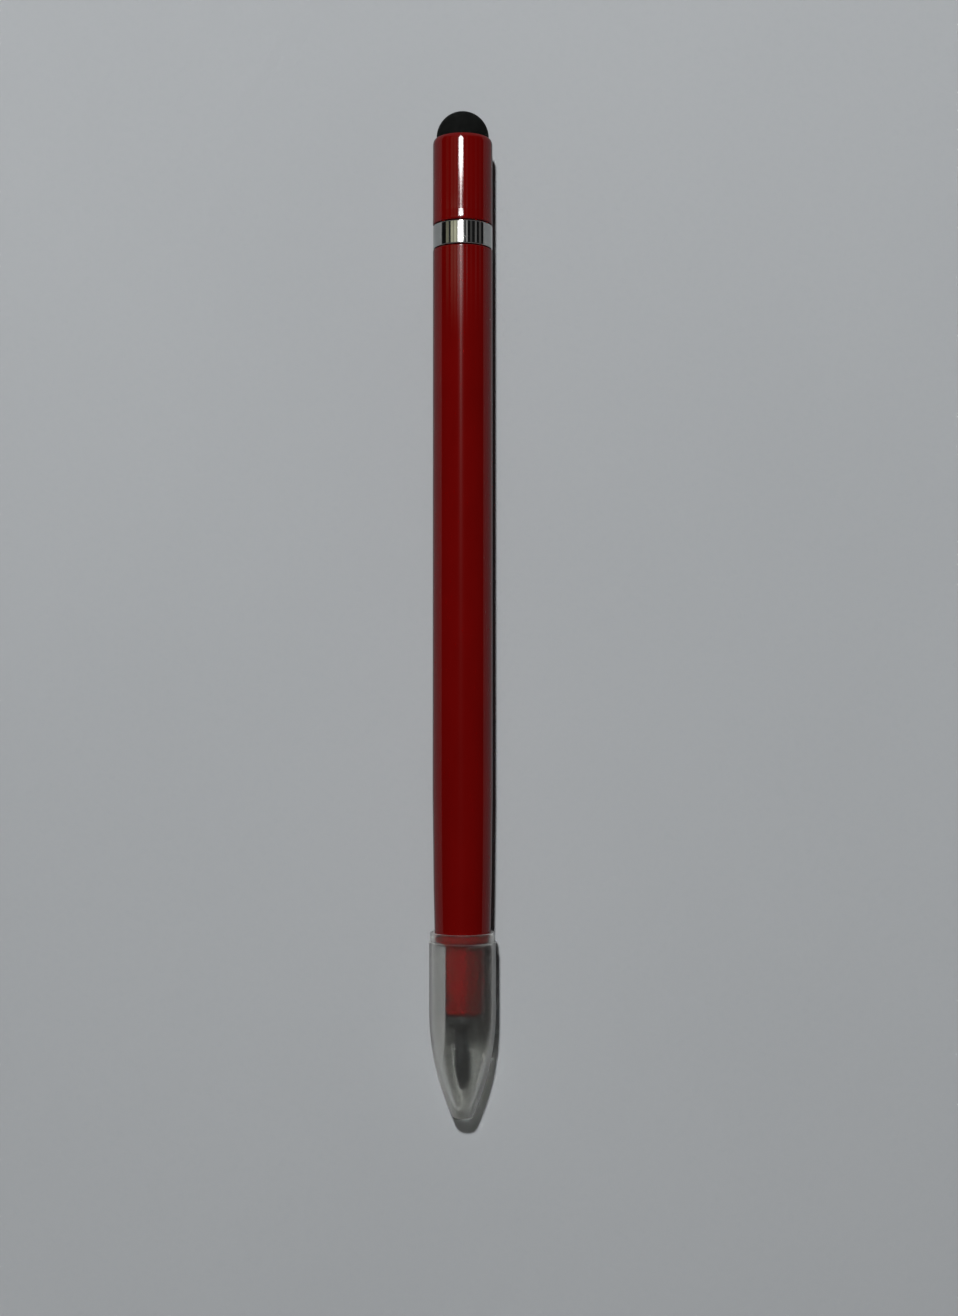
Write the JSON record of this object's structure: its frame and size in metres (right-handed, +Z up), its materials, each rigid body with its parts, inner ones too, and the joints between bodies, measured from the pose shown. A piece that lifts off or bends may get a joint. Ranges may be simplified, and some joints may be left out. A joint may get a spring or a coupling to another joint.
{
  "type": "inkless pencil",
  "caption": "Slim inkless pencil: lacquered tube with a screw-in graphite nib under a translucent pull-off cap, a chrome ring and a screw-on stylus head with a rubber dome.",
  "frame": {"origin": "on the table under the middle of the lying pencil", "axes": "+Y along the pencil towards the stylus dome, +Z up from the table, +X across it"},
  "size_m": [0.01, 0.1514, 0.0098],
  "materials": {
    "red_lacquer": "deep red glossy lacquer on aluminium",
    "polished_chrome": "mirror-polished chrome",
    "black_rubber": "matte conductive rubber",
    "clear_plastic": "smooth translucent polypropylene, slightly milky",
    "graphite": "dark graphite composite with a low sheen",
    "black_plastic": "satin black moulded plastic",
    "black_metal": "blackened brass",
    "brass": "turned brass"
  },
  "bodies": {
    "barrel_unit": {"barrel_tube": "red_lacquer", "front_nose": "red_lacquer", "rear_bush": "brass"},
    "cap": {"tip_cap": "clear_plastic"},
    "collar": {"nib_collar": "black_plastic"},
    "nib_unit": {"nib_screw": "black_metal", "nib": "graphite"},
    "ring": {"trim_ring": "polished_chrome"},
    "stylus_head": {"head_stud": "brass", "rear_sleeve": "red_lacquer", "stylus_core": "black_plastic", "stylus_dome": "black_rubber"}
  },
  "joints": [
    {"name": "cap_slide", "type": "slide", "parent": "barrel_unit", "child": "cap", "axis": [0, -1, 0], "range_m": [0, 0.028]},
    {"name": "collar_slide", "type": "slide", "parent": "barrel_unit", "child": "collar", "axis": [0, -1, 0], "range_m": [0, 0.0025]},
    {"name": "nib_turn", "type": "hinge", "parent": "collar", "child": "nib_unit", "pos_m": [0, -0.06, 0.00492], "axis": [0, -1, 0], "range_deg": [0, 1800]},
    {"name": "ring_slide", "type": "slide", "parent": "barrel_unit", "child": "ring", "axis": [0, 1, 0], "range_m": [0, 0.0048]},
    {"name": "head_turn", "type": "hinge", "parent": "ring", "child": "stylus_head", "pos_m": [0, 0.06, 0.00492], "axis": [0, 1, 0], "range_deg": [0, 2160]}
  ],
  "couplings": [
    {"joint": "nib_turn", "follows": "collar_slide", "rad_per_m": 12566},
    {"joint": "head_turn", "follows": "ring_slide", "rad_per_m": 7854}
  ]
}
